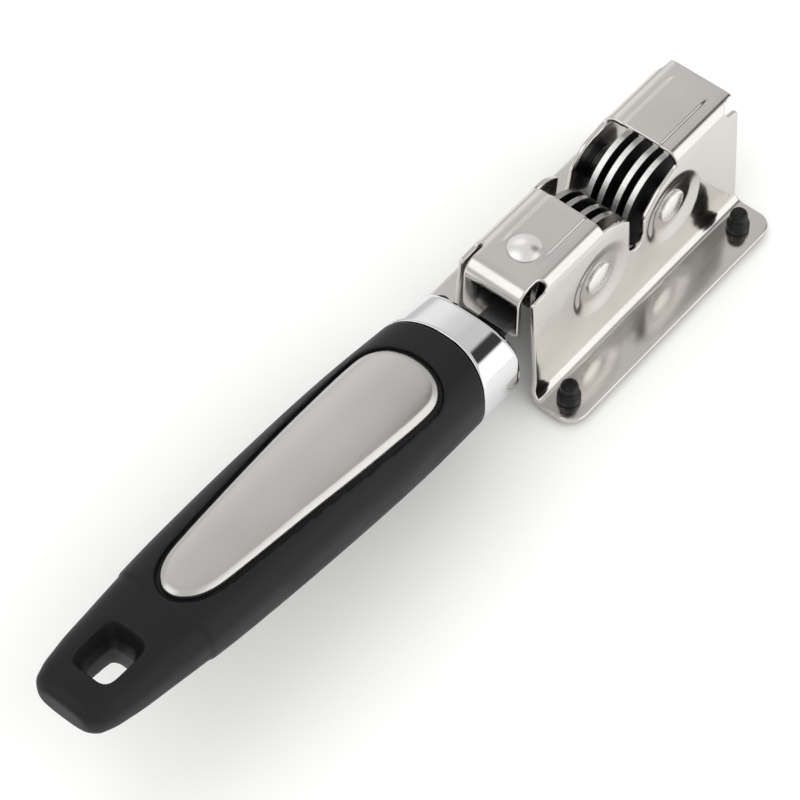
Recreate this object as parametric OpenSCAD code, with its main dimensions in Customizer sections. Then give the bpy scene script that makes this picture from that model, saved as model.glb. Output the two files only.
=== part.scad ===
// Hand-held two-stage roller knife sharpener: folded sheet head on four rubber feet,
// two stacks of discs on riveted axles, and a soft grip on a flat tang.
// Millimetres. +X points from the grip to the head, +Z is up, z = 0 is the table.
// The origin is the middle of the footprint of the whole object.

/* [Head sheet] */
// Length of the head's side walls
wall_len = 73; // [70:1:76]
// Width across the top plate
top_w = 20; // [19:0.5:22]
// Height of the folded sheet, flange underside to top plate
head_h = 33.5; // [33:0.5:36]
// Thickness of the sheet
sheet_t = 1.2; // [1:0.1:1.4]
// Lean of each side wall from upright, in degrees
wall_lean = 3.8; // [2:0.2:5]
// Width of each base flange outside its wall
flange_w = 11.4; // [10:0.2:13]
// Radius of the flange's corners
flange_r = 6; // [4:0.5:7]
// Width of the front tongue
tongue_w = 15; // [13:0.5:15.5]
// Height at which the front tongue ends, above the flange underside
tongue_end = 19.5; // [19:0.5:22]

/* [Opening] */
// Front edge of the top opening, from the middle of the head
open_front = -11.6; // [-12.5:0.1:-10.5]
// Rear edge of the top opening, from the middle of the head
open_rear = 14.3; // [13:0.1:15]
// Width of the knife slot in the walls
slot_w = 5.2; // [4.4:0.2:6]
// Bottom of the knife slot, above the flange underside
slot_bottom = 17; // [16:0.5:19]

/* [Rollers] */
// Distance between the two axles
axle_gap = 26.2; // [26:0.1:26.4]
// Height of the axles above the flange underside
axle_up = 18.3; // [18.2:0.1:18.4]
// Diameter of the axle pins
pin_d = 4; // [3:0.5:5]
// Radial running clearance of a hub on its pin
run_gap = 0.05; // [0.03:0.01:0.08]
// Diameter of the front discs
front_disc_d = 27.6; // [27:0.1:27.7]
// Diameter of the rear discs
rear_disc_d = 24.4; // [24:0.1:24.6]
// Thickness of a disc
disc_t = 1.4; // [1:0.1:1.5]
// Distance of the inner discs from the middle of their stack
disc_inner = 1.94; // [1.9:0.02:2.1]
// Distance of the outer discs from the middle of their stack
disc_outer = 5.07; // [5:0.01:5.2]
// Sideways shift of both stacks towards the right wall
stack_shift = 0.85; // [0.7:0.05:0.9]

/* [Feet] */
// Thickness of the rubber pad under the flange
pad_t = 1.5; // [1.5:0.5:3]
// Diameter of the rubber pad
pad_d = 8; // [6:0.5:9]

/* [Handle] */
// Distance from the middle of the head to the front of the collar
collar_at = 44; // [43:0.5:46]
// Length of the handle from the collar's front to the tail
handle_len = 128; // [126:0.5:130]
// Length of the collar on the middle line
collar_len = 9.5; // [8:0.5:12]
// Wall thickness of the collar
collar_t = 1; // [0.8:0.1:1.4]
// Width of the flat tang
tang_w = 6.5; // [6:0.5:9]
// Thickness of the flat tang
tang_t = 3; // [2:0.5:3]

/* [Hidden] */
$fn = 64;

// The head stands on its pads, and the overall length runs from the tail to the rear of the walls.
front_out = 1.9;
bend_r = 4;
head_x = (handle_len + collar_at - wall_len / 2) / 2;
base_z = pad_t;
top_z = base_z + head_h;
lean = tan(wall_lean);
foot_half = top_w / 2 + lean * head_h;
flange_half = foot_half + flange_w;
flange_from = -wall_len / 2 - 1.6;
flange_to = wall_len / 2 - 0.3;

// Axles, and their flat seats pressed into the leaning walls
axle_z = base_z + axle_up;
seat_depth = 0.9;
seat_y = top_w / 2 + lean * (head_h - axle_up) - seat_depth;
seat_r = 9.6;
pin_hole_d = pin_d + 0.04;
head_d = 7.9;
head_rise = 1.15;
head_dome_r = 13;
hub_d = 7;
hub_half = seat_y - sheet_t - 0.8;
washer_t = 0.6;
washer_d = 9;
spacer_d = 10;
disc_ys = [disc_outer, disc_inner, -disc_inner, -disc_outer];

// Tang route: under the front tongue, then up to the underside of the top plate
tang_z = base_z + 15.8;
tang_up_x = -34.6;
tang_end_x = -21.5;
tang_in = 32;
rivet_x = -26.8;
rivet_pin_d = 4;
pin_at = 51;
pin_bore_d = 3;

// Feet
foot_xs = [-32.5, 29.5];
foot_y = 17.9;
stem_d = 4;

// Handle sections: distance from the collar's front, half width, half height
stations = [
  [0, 13.6, 10.1], [12, 14.2, 10.2], [32, 15, 10], [60, 14.7, 9.6], [76, 14.2, 8.8],
  [92, 13.4, 8], [108, 12, 6.9], [119, 10.8, 5.9], [124.4, 9.7, 5.1],
  [handle_len - 1, 8.4, 4.3], [handle_len, 6.7, 3.3]
];
function mid_z(u) = base_z + 19.3 + 0.087 * u - 0.00006 * u * u;
function half_w(u) = lookup(u, [for (s = stations) [s[0], s[1]]]);
function half_h(u) = lookup(u, [for (s = stations) [s[0], s[2]]]);
squareness = 3;
function squircle(a, b, count = 36) = [
  for (i = [0:count - 1])
    let (c = cos(i * 360 / count), s = sin(i * 360 / count))
      [a * sign(c) * pow(abs(c), 2 / squareness), b * sign(s) * pow(abs(s), 2 / squareness)]
];
seam_r = 26.5;
lip_t = 1;
lip_w = 3;
plug_from = 1.4;

// Inlay plate: a drop shape, wide at the head end
inlay_from = 19;
inlay_to = 97;
inlay_wide = 10.2;
inlay_tip = 6.4;
inlay_rise = 0.4;
inlay_t = 1.2;

// Hollow of the grip
grip_wall = 3.4;
hollow_from = 30;
hollow_to = 100;

// Hang hole near the tail
hole_u = 114;

// ---- helpers ----

// One thin slice of the handle, shrunk all round by skin
module slice(u, skin = 0) {
  translate([-collar_at - u, 0, mid_z(u)])
    rotate([90, 0, 90])
      linear_extrude(0.02, center = true)
        polygon(squircle(half_w(u) - skin, half_h(u) - skin));
}

// The handle's outer form between two distances from the collar's front
module handle_form(from, to, skin = 0) {
  hull() {
    slice(from, skin);
    for (s = stations)
      if (s[0] > from && s[0] < to) slice(s[0], skin);
    slice(to, skin);
  }
}

// Drop-shaped prism that cuts out the inlay plate and its recess
module drop(grow = 0) {
  round_front = 8;
  linear_extrude(80)
    hull() {
      translate([-collar_at - inlay_from - round_front, 0])
        circle(round_front + grow, $fn = 32);
      for (side = [-1, 1])
        translate([-collar_at - inlay_from - round_front - 3, side * (inlay_wide - 5)])
          circle(5 + grow, $fn = 32);
      translate([-collar_at - inlay_to + inlay_tip, 0])
        circle(inlay_tip + grow, $fn = 32);
    }
}

// A cylinder along Y, centred on the middle plane
module y_cyl(d, len) {
  rotate([90, 0, 0])
    cylinder(d = d, h = len, center = true);
}

// A disc or ring on an axle, between two Y positions
module y_ring(outer_d, bore_d, from, to) {
  translate([0, (from + to) / 2, 0])
    difference() {
      y_cyl(outer_d, to - from);
      y_cyl(bore_d, to - from + 1);
    }
}

// Moves a child to one of the two axles: end is -1 for the front, 1 for the rear
module at_axle(end) {
  translate([end * axle_gap / 2, 0, axle_z])
    children();
}

// ---- head ----

// Rounded outline of the two base flanges in plan
module flange_plan() {
  hull()
    for (x = [flange_from + flange_r, flange_to - flange_r], side = [-1, 1])
      translate([x, side * (flange_half - flange_r)])
        circle(flange_r);
}

// One leaning wall from the flange up into the top bend
module wall(side, thickness = sheet_t) {
  sheet_y = thickness / cos(wall_lean);
  rotate([90, 0, 90])
    linear_extrude(wall_len, center = true)
      polygon([
        [side * foot_half, base_z],
        [side * (top_w / 2 + lean * bend_r), top_z - bend_r],
        [side * (top_w / 2 + lean * bend_r - sheet_y), top_z - bend_r],
        [side * (foot_half - sheet_y), base_z]
      ]);
}

// The rounded corner between a wall and the top plate
module top_bend(side) {
  outer = bend_r;
  centre_y = side * (top_w / 2 + lean * bend_r - outer);
  translate([0, centre_y, top_z - outer])
    rotate([90, 0, 90])
      linear_extrude(wall_len, center = true)
        intersection() {
          difference() {
            circle(outer);
            circle(outer - sheet_t);
          }
          translate([side > 0 ? 0 : -outer, 0])
            square([outer, outer]);
        }
}

// The front tongue: the top plate bent down over its front end
module tongue() {
  tongue_x = wall_len / 2 + front_out;
  translate([bend_r - tongue_x, 0, top_z - bend_r])
    rotate([90, 0, 0])
      linear_extrude(tongue_w, center = true)
        intersection() {
          difference() {
            circle(bend_r);
            circle(bend_r - sheet_t);
          }
          translate([-bend_r, 0])
            square([bend_r, bend_r]);
        }
  drop_h = top_z - bend_r - base_z - tongue_end;
  translate([sheet_t / 2 - tongue_x, 0, base_z + tongue_end + drop_h / 2])
    cube([sheet_t, tongue_w, drop_h], center = true);
}

// Side view of the opening cut through the top and one wall; the left wall is left fuller
module opening_cut(side) {
  half = slot_w / 2;
  up = base_z;
  rear_edge = side < 0
    ? [[half, up + 23.6], [6.2, up + 26.7], [open_rear, up + 30.6]]
    : [[half + 0.4, up + 24.5], [5.4, up + 28.8], [9, up + 30.4], [open_rear, up + 31.6]];
  rotate([90, 0, 0])
    translate([0, 0, side < 0 ? -0.01 : -flange_half])
      linear_extrude(flange_half + 0.01)
        union() {
          polygon(concat(
            [
              [open_front, up + head_h + 2], [open_front, up + 32.2], [-8, up + 31.2],
              [-5, up + 29.4], [-half, up + 26.8], [-half, up + slot_bottom + half],
              [half, up + slot_bottom + half]
            ],
            rear_edge,
            [[open_rear, up + head_h + 2]]
          ));
          translate([0, up + slot_bottom + half])
            circle(half);
        }
}

// Corner relief between an end of the top plate and a wall
module relief(end, side) {
  translate([end * (wall_len / 2 - 2.2), side * (top_w / 2 - 0.3), top_z - 1.2])
    rotate([side * 50, 0, 0])
      cylinder(d = 5, h = 9, center = true);
}

// Flat round seat for a rivet head, pressed into one wall
module seat(end, side) {
  at_axle(end)
    translate([0, side * (seat_y - sheet_t / 2), 0])
      y_cyl(2 * seat_r, sheet_t);
  intersection() {
    wall(side, 6);
    at_axle(end)
      translate([0, side * (seat_y + 2 - sheet_t / 2), 0])
        difference() {
          y_cyl(2 * seat_r, 4);
          y_cyl(2 * (seat_r - sheet_t), 5);
        }
  }
}

module frame() {
  top_from = -wall_len / 2 - front_out + bend_r;
  top_to = wall_len / 2;
  bead_y = 4.9;
  color("silver")
    difference() {
      union() {
        // Base flanges, one each side, from one flat outline
        difference() {
          translate([0, 0, base_z])
            linear_extrude(sheet_t)
              flange_plan();
          translate([0, 0, base_z])
            cube([2 * wall_len, 2 * foot_half - 2 * sheet_t, 3 * sheet_t], center = true);
        }
        // Walls with a pressed seat at each axle
        for (side = [-1, 1]) {
          difference() {
            wall(side);
            for (end = [-1, 1])
              at_axle(end)
                translate([0, side * seat_y, 0])
                  y_cyl(2 * (seat_r - sheet_t / 2), 6 * sheet_t);
          }
          for (end = [-1, 1])
            seat(end, side);
          top_bend(side);
        }
        // Top plate with raised beads beside the middle band
        translate([0, 0, top_z - sheet_t / 2])
          cube([wall_len, top_w - 2 * bend_r + 2 * lean * bend_r, sheet_t], center = true);
        translate([top_from, -tongue_w / 2, top_z - sheet_t])
          cube([top_to - top_from, tongue_w, sheet_t]);
        for (side = [-1, 1], run = [[-28, -12.5], [15.2, 30.6]])
          translate([(run[0] + run[1]) / 2, side * bead_y, top_z - 0.2])
            rotate([0, 90, 0])
              cylinder(d = 1, h = run[1] - run[0], center = true);
        tongue();
      }
      for (side = [-1, 1])
        opening_cut(side);
      for (end = [-1, 1], side = [-1, 1])
        relief(end, side);
      for (end = [-1, 1])
        at_axle(end)
          y_cyl(pin_hole_d, 2 * flange_half);
      translate([rivet_x, 0, top_z - sheet_t])
        cylinder(d = rivet_pin_d + 0.04, h = 3 * sheet_t, center = true);
      for (x = foot_xs, side = [-1, 1])
        translate([x, side * foot_y, base_z])
          cylinder(d = stem_d, h = 4 * sheet_t, center = true);
    }
}

// Flat steel bar that joins the grip to the head
module tang() {
  under_top = top_z - sheet_t;
  color("gray")
    difference() {
      union() {
        translate([-collar_at - tang_in, -tang_w / 2, tang_z])
          cube([collar_at + tang_in + tang_up_x + tang_t, tang_w, tang_t]);
        translate([tang_up_x, -tang_w / 2, tang_z])
          cube([tang_t, tang_w, under_top - tang_z]);
        translate([tang_up_x, -tang_w / 2, under_top - 2])
          cube([tang_end_x - tang_up_x, tang_w, 2]);
      }
      translate([rivet_x, 0, under_top])
        cylinder(d = rivet_pin_d + 0.04, h = 6, center = true);
      translate([-pin_at, 0, tang_z + tang_t / 2])
        cylinder(d = pin_bore_d + 0.04, h = 2 * tang_t, center = true);
    }
}

// Domed rivet through the top plate and the tang
module dome_rivet() {
  shank = sheet_t + 2;
  color("gainsboro")
    translate([rivet_x, 0, top_z])
      rotate_extrude()
        difference() {
          union() {
            translate([0, -shank])
              square([rivet_pin_d / 2, shank]);
            translate([0, -shank - 0.8])
              square([rivet_pin_d / 2 + 1, 0.8]);
            intersection() {
              translate([0, -4.6])
                circle(6);
              square([head_d / 2, 2]);
            }
          }
          translate([-20, -20])
            square([20, 40]);
        }
}

// Vertical pin that locks the tang in the grip, hidden under the collar
module tang_pin() {
  color("gray")
    translate([-pin_at, 0, tang_z + tang_t / 2])
      cylinder(d = pin_bore_d, h = tang_t + 6, center = true);
}

// ---- handle ----

// The inside of the collar, which the grip's plug fills
module socket() {
  handle_form(lip_t, 20, collar_t);
}

// Bright sleeve at the front of the handle with a turned-in lip and a bowed rear edge
module collar() {
  color("gainsboro")
    difference() {
      handle_form(0, 16);
      socket();
      handle_form(-0.1, lip_t + 0.1, collar_t + lip_w);
      translate([-collar_at - collar_len - seam_r, 0, 0])
        cylinder(r = seam_r, h = 200, center = true, $fn = 128);
    }
}

// Soft moulded grip with a plug inside the collar, an inlay recess and a hang hole
module grip() {
  color([0.13, 0.13, 0.14])
    difference() {
      union() {
        intersection() {
          handle_form(0.1, handle_len);
          translate([-collar_at - collar_len - seam_r, 0, 0])
            union() {
              cylinder(r = seam_r, h = 200, center = true, $fn = 128);
              translate([-200, -50, -100])
                cube([200, 100, 200]);
            }
        }
        intersection() {
          socket();
          translate([-collar_at - plug_from - 30, -50, -100])
            cube([30, 100, 200]);
        }
      }
      // Recess for the inlay plate
      difference() {
        translate([0, 0, mid_z(0)])
          drop(0.3);
        translate([0, 0, inlay_rise - inlay_t])
          handle_form(inlay_from - 8, inlay_to + 8);
      }
      // Pocket for the tang, and the moulding's hollow behind it
      translate([-collar_at - tang_in, -tang_w / 2, tang_z])
        cube([tang_in + 2, tang_w, tang_t]);
      handle_form(hollow_from, hollow_to, grip_wall);
      translate([-pin_at, 0, tang_z + tang_t / 2])
        cylinder(d = pin_bore_d, h = tang_t + 6, center = true);
      // Hang hole, wide at the top
      hull() {
        translate([-collar_at - hole_u, 0, top_z + 2])
          linear_extrude(0.1)
            square([13, 12], center = true);
        translate([-collar_at - hole_u, 0, mid_z(hole_u) - 1])
          linear_extrude(0.1)
            square([9, 7], center = true);
      }
      translate([-collar_at - hole_u, 0, mid_z(hole_u) - 10])
        linear_extrude(20)
          square([9, 7], center = true);
    }
}

// Satin plate let into the top of the grip
module inlay_plate() {
  color("lightgray")
    difference() {
      intersection() {
        translate([0, 0, inlay_rise])
          handle_form(inlay_from - 8, inlay_to + 8);
        translate([0, 0, mid_z(0)])
          drop();
      }
      translate([0, 0, inlay_rise - inlay_t])
        handle_form(inlay_from - 8, inlay_to + 8);
    }
}

// ---- rollers ----

// Axle pin with a low domed rivet head outside each wall
module axle(end) {
  color("gainsboro")
    at_axle(end) {
      y_cyl(pin_d, 2 * seat_y + head_rise);
      for (side = [-1, 1])
        translate([0, side * seat_y, 0])
          rotate([-side * 90, 0, 0])
            rotate_extrude()
              intersection() {
                translate([0, head_rise - head_dome_r])
                  circle(head_dome_r);
                square([head_d / 2, 2]);
              }
    }
}

// Thrust washers against the inside of the walls
module washers(end) {
  color("gray")
    at_axle(end)
      for (side = [-1, 1])
        translate([0, side * (seat_y - sheet_t - washer_t / 2), 0])
          y_ring(washer_d, pin_hole_d, -washer_t / 2, washer_t / 2);
}

// Tube that turns on the axle and carries the discs
module hub(end) {
  color("gray")
    at_axle(end)
      y_ring(hub_d, pin_d + 2 * run_gap, -hub_half, hub_half);
}

// Spacer rings between and outside the discs of one stack
module spacers(end) {
  edges = concat([hub_half], [for (y = disc_ys) each [y - stack_shift + disc_t / 2,
                                                      y - stack_shift - disc_t / 2]], [-hub_half]);
  color("dimgray")
    at_axle(end)
      for (i = [0:4])
        y_ring(spacer_d, hub_d, edges[2 * i + 1], edges[2 * i]);
}

// One disc; number 0 is nearest the left wall
module disc(end, number) {
  y = disc_ys[number] - stack_shift;
  disc_d = end < 0 ? front_disc_d : rear_disc_d;
  color(end < 0 ? "silver" : "whitesmoke")
    at_axle(end)
      y_ring(disc_d, hub_d, y - disc_t / 2, y + disc_t / 2);
}

// ---- feet ----

// Rubber foot: pad below the flange, stem through it, two-step plug above
module foot(x, side) {
  above = base_z + sheet_t;
  color([0.05, 0.05, 0.05])
    translate([x, side * foot_y, 0]) {
      cylinder(d = pad_d, h = base_z);
      translate([0, 0, base_z - 0.5])
        cylinder(d = stem_d - 0.04, h = sheet_t + 1);
      translate([0, 0, above])
        cylinder(d = 5.3, h = 2.4);
      translate([0, 0, above + 2])
        cylinder(d = 4.2, h = 3.4);
    }
}

// ---- assembly ----
module head_part() {
  translate([head_x, 0, 0])
    children();
}

head_part() frame();
head_part() tang();
head_part() dome_rivet();
head_part() tang_pin();
head_part() collar();
head_part() grip();
head_part() inlay_plate();
head_part() axle(-1);  // front_axle
head_part() washers(-1);  // front_washers
head_part() hub(-1);  // front_hub
head_part() spacers(-1);  // front_spacers
head_part() disc(-1, 0);  // front_disc_1
head_part() disc(-1, 1);  // front_disc_2
head_part() disc(-1, 2);  // front_disc_3
head_part() disc(-1, 3);  // front_disc_4
head_part() axle(1);  // rear_axle
head_part() washers(1);  // rear_washers
head_part() hub(1);  // rear_hub
head_part() spacers(1);  // rear_spacers
head_part() disc(1, 0);  // rear_disc_1
head_part() disc(1, 1);  // rear_disc_2
head_part() disc(1, 2);  // rear_disc_3
head_part() disc(1, 3);  // rear_disc_4
head_part() foot(foot_xs[0], 1);  // foot_front_left
head_part() foot(foot_xs[0], -1);  // foot_front_right
head_part() foot(foot_xs[1], 1);  // foot_rear_left
head_part() foot(foot_xs[1], -1);  // foot_rear_right
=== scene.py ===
"""Looks for the roller knife sharpener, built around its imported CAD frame.

Design lengths are millimetres in the head's own frame: x = 0 midway between the two axles,
y = 0 on the middle plane, z = 0 under the base flanges. place() turns them into metres.
"""
import math

import bmesh
import bpy
import numpy as np
from mathutils import Matrix, Vector
from mathutils.geometry import delaunay_2d_cdt


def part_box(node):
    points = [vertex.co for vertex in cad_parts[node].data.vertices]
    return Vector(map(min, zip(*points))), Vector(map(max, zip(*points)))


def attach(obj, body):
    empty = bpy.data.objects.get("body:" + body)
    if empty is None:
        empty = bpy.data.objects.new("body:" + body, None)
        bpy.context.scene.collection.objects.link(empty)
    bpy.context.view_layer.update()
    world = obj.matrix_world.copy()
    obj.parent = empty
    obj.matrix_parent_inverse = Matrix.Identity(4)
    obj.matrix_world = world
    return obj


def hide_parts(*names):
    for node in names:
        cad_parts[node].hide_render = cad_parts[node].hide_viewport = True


MM = 0.001
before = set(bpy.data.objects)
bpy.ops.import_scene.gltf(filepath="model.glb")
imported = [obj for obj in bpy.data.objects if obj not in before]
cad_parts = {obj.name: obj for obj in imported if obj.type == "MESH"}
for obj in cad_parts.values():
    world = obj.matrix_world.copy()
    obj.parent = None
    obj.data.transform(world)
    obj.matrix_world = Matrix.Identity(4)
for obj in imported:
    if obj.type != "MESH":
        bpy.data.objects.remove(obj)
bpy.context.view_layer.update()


def box_mm(node):
    """Lowest and highest corners of a CAD node, in millimetres."""
    low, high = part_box(node)
    return np.array(low) / MM, np.array(high) / MM


def centre_mm(node):
    low, high = box_mm(node)
    return (low + high) / 2


# ---- places taken from the frame ----
FRONT_AXLE = centre_mm("front_axle")
REAR_AXLE = centre_mm("rear_axle")
ORIGIN = np.array([(FRONT_AXLE[0] + REAR_AXLE[0]) / 2, 0.0, box_mm("frame")[0][2]])
AXLE_X = (REAR_AXLE[0] - FRONT_AXLE[0]) / 2
AXLE_Z = FRONT_AXLE[2] - ORIGIN[2]
COLLAR_FRONT = -(ORIGIN[0] - box_mm("collar")[1][0])
HANDLE_LEN = box_mm("collar")[1][0] - box_mm("grip")[0][0]

# ---- head sheet ----
SHEET = 1.2
TOP_HALF = 10.0
HEIGHT = 33.5
LEAN = math.radians(3.8)
TOP_BEND = 3.4
BASE_BEND = 2.4
TONGUE_BEND = 4.0
FLANGE_EDGE = 23.55
WALL_FRONT, WALL_REAR = -36.5, 36.5
FLANGE_FRONT, FLANGE_REAR = -38.0, 36.2
TONGUE_FRONT = -38.4
PLATE_REAR = 36.4
TONGUE_HALF = 7.4
TONGUE_END = 19.5
OPEN_FRONT, OPEN_REAR = -11.6, 14.3
SEAT_Y = 10.1
SEAT_FLAT_R, SEAT_RIM_R, SEAT_SKIRT_R = 6.2, 10.0, 15.6
BOSS_HALF, BOSS_RISE = 4.9, 0.28

# ---- handle: distance from the collar's front, half width, half height ----
STATIONS = [
    (0, 13.6, 10.0), (12, 14.15, 10.15), (32, 14.95, 9.95), (60, 14.6, 9.5), (76, 14.1, 8.75),
    (92, 13.3, 7.9), (108, 11.9, 6.8), (119, 10.7, 5.8), (124.2, 9.6, 5.0), (126.8, 8.3, 4.2),
    (HANDLE_LEN, 6.6, 3.2),
]
SQUARENESS = 2.8
COLLAR_LEN = 9.5
HANG_HOLE_X = -158.2
SEAM_R = 26.5


def place(points):
    """Head-frame millimetres to metres in the shared frame."""
    return (np.atleast_2d(np.asarray(points, float)) + ORIGIN) * MM


# ---- mesh helpers ----

def new_piece(name, points, faces, body, nodes, slot, material, sharp=35):
    """One mesh piece from head-frame points, riding on a body and standing for CAD nodes."""
    mesh = bpy.data.meshes.new(name)
    mesh.from_pydata([tuple(p) for p in place(points)], [], [tuple(int(i) for i in f) for f in faces])
    mesh.validate()
    piece = bpy.data.objects.new(name, mesh)
    bpy.context.collection.objects.link(piece)
    finish_mesh(piece, material, sharp)
    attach(piece, body)
    if nodes:
        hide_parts(*nodes)
    return piece


def finish_mesh(piece, material, sharp=35):
    """Outward normals, smooth faces with sharp edges kept, and one material."""
    work = bmesh.new()
    work.from_mesh(piece.data)
    bmesh.ops.recalc_face_normals(work, faces=work.faces)
    limit = math.radians(sharp)
    for face in work.faces:
        face.smooth = True
    for edge in work.edges:
        if len(edge.link_faces) == 2:
            edge.smooth = edge.calc_face_angle(0.0) < limit
    work.to_mesh(piece.data)
    work.free()
    piece.data.materials.clear()
    piece.data.materials.append(material)


def fillet(corners, closed=True, step=0.35):
    """A path through (x, y, radius) corners, with each corner rounded by an arc."""
    path = []
    count = len(corners)
    for i, (x, y, radius) in enumerate(corners):
        here = np.array([x, y], float)
        if radius <= 0 or (not closed and i in (0, count - 1)):
            path.append(here)
            continue
        before = np.array(corners[i - 1][:2], float) - here
        after = np.array(corners[(i + 1) % count][:2], float) - here
        a, b = before / np.linalg.norm(before), after / np.linalg.norm(after)
        half = math.acos(max(-1.0, min(1.0, float(a @ b)))) / 2
        if half > math.radians(89.5):
            path.append(here)
            continue
        reach = min(radius / math.tan(half), 0.49 * np.linalg.norm(before), 0.49 * np.linalg.norm(after))
        radius = reach * math.tan(half)
        middle = here + (a + b) / np.linalg.norm(a + b) * (radius / math.sin(half))
        start, end = here + a * reach - middle, here + b * reach - middle
        turn = math.atan2(start[0] * end[1] - start[1] * end[0], start @ end)
        steps = max(3, int(abs(turn) * radius / step) + 1)
        angle = math.atan2(start[1], start[0])
        for k in range(steps + 1):
            t = angle + turn * k / steps
            path.append(middle + radius * np.array([math.cos(t), math.sin(t)]))
    return np.array(path)


def resample(path, step, closed=True):
    """Adds points to a path so that no stretch is longer than the step."""
    points = []
    count = len(path) if closed else len(path) - 1
    for i in range(count):
        a, b = path[i], path[(i + 1) % len(path)]
        parts = max(1, int(math.ceil(np.linalg.norm(b - a) / step)))
        for k in range(parts):
            points.append(a + (b - a) * k / parts)
    if not closed:
        points.append(path[-1])
    return np.array(points)


def tidy_loop(loop, least=0.08):
    """Drops points of a closed loop that nearly coincide."""
    kept = [loop[0]]
    for point in loop[1:]:
        if np.linalg.norm(point - kept[-1]) > least:
            kept.append(point)
    if np.linalg.norm(kept[0] - kept[-1]) < least:
        kept.pop()
    return np.array(kept)


def offset_loop(loop, distance):
    """Moves a closed loop sideways; positive goes to the left of its direction."""
    ahead = np.roll(loop, -1, axis=0) - loop
    ahead /= np.linalg.norm(ahead, axis=1, keepdims=True)
    behind = np.roll(ahead, 1, axis=0)
    normal = np.c_[-(ahead[:, 1] + behind[:, 1]), ahead[:, 0] + behind[:, 0]]
    length = np.linalg.norm(normal, axis=1, keepdims=True)
    return loop + distance * normal / np.maximum(length, 1e-6) / np.maximum(length / 2, 0.5)


def inside(points, loop):
    """Which points lie inside a closed loop."""
    x, y = points[:, 0], points[:, 1]
    result = np.zeros(len(points), bool)
    for a, b in zip(loop, np.roll(loop, -1, axis=0)):
        if a[1] == b[1]:
            continue
        crosses = (a[1] > y) != (b[1] > y)
        result ^= crosses & (x < (b[0] - a[0]) * (y - a[1]) / (b[1] - a[1]) + a[0])
    return result


def distance_to(points, loop):
    """Distance from each point to the nearest sample of a densely sampled loop."""
    best = np.full(len(points), np.inf)
    for i in range(0, len(loop), 64):
        part = loop[i:i + 64]
        gap = np.linalg.norm(points[:, None, :] - part[None, :, :], axis=2)
        best = np.minimum(best, gap.min(axis=1))
    return best


def smoothstep(low, high, value):
    t = np.clip((value - low) / (high - low), 0, 1)
    return t * t * (3 - 2 * t)


def sheet_mesh(outer, holes, grid_points, lift, bevel, thickness):
    """A sheet with bevelled edges from its flat outline.

    outer runs counter-clockwise and holes clockwise, so metal is always on the left.
    lift(flat, depth) turns flat points and depths below the outer face into 3-D points.
    """
    flats, edges, edge_loops = [], [], []
    count = 0
    for loop in [outer] + holes:
        for k, inset in enumerate((0.0, bevel, 2.4 * bevel)):
            ring = offset_loop(loop, inset)
            flats.append(ring)
            size = len(ring)
            edges += [(count + i, count + (i + 1) % size) for i in range(size)]
            if k == 0:
                edge_loops.append((count, size))
            count += size
    flats.append(grid_points)
    flat = np.vstack(flats)
    found = delaunay_2d_cdt([Vector(p) for p in flat], edges, [], 0, 1e-5)
    points = np.array([tuple(v) for v in found[0]])
    triangles = np.array([tuple(f) for f in found[2]])
    middles = points[triangles].mean(axis=1)
    keep = inside(middles, outer)
    for hole in holes:
        keep &= ~inside(middles, hole)
    triangles = triangles[keep]
    source = {}
    for new, old in enumerate(found[3]):
        for i in old:
            source[i] = new
    depth = np.zeros(len(points))
    rims = []
    for start, size in edge_loops:
        ring = [source[start + i] for i in range(size)]
        depth[ring] = bevel
        rims.append(ring)
    top = lift(points, depth)
    bottom = lift(points, thickness - depth)
    shift = len(points)
    faces = [tuple(t) for t in triangles] + [tuple(t[::-1] + shift) for t in triangles]
    for ring in rims:
        for a, b in zip(ring, ring[1:] + ring[:1]):
            if a != b:
                faces.append((b, a, a + shift, b + shift))
    return np.vstack([top, bottom]), faces


def lathe(profile, segments=64, wave=None):
    """Points and faces of a turned piece about +Z from (radius, height) pairs."""
    points, faces = [], []
    angles = np.arange(segments) * 2 * math.pi / segments
    rings = []
    for radius, height in profile:
        if radius < 1e-6:
            rings.append([len(points)])
            points.append((0.0, 0.0, height))
            continue
        rings.append(list(range(len(points), len(points) + segments)))
        for t in angles:
            r = radius + (wave(t, radius, height) if wave else 0.0)
            points.append((r * math.cos(t), r * math.sin(t), height))
    for low, high in zip(rings, rings[1:]):
        for i in range(segments):
            j = (i + 1) % segments
            if len(low) == 1 and len(high) > 1:
                faces.append((low[0], high[i], high[j]))
            elif len(high) == 1 and len(low) > 1:
                faces.append((low[i], high[0], low[j]))
            elif len(low) > 1:
                faces.append((low[i], high[i], high[j], low[j]))
    return np.array(points), faces


def turned(profile, at, axis="Z", flip=1, segments=64, wave=None):
    """A lathe form moved to a place; axis Y lays its height along the axles."""
    points, faces = lathe(profile, segments, wave)
    if axis == "Y":
        points = np.c_[points[:, 0], flip * points[:, 2], points[:, 1]]
    else:
        points = np.c_[points[:, 0], points[:, 1], flip * points[:, 2]]
    return points + np.asarray(at, float), faces


def joined(parts):
    """Several point and face lists as one."""
    points, faces, count = [], [], 0
    for part_points, part_faces in parts:
        points.append(part_points)
        faces += [tuple(i + count for i in f) for f in part_faces]
        count += len(part_points)
    return np.vstack(points), faces


# ---- materials ----

def base_material(name, color, metallic, roughness):
    """A Principled material with its node tree, ready for texture nodes."""
    material = bpy.data.materials.new(name)
    material.use_nodes = True
    shader = material.node_tree.nodes["Principled BSDF"]
    shader.inputs["Base Color"].default_value = (*color, 1)
    shader.inputs["Metallic"].default_value = metallic
    shader.inputs["Roughness"].default_value = roughness
    return material, material.node_tree, shader


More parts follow.
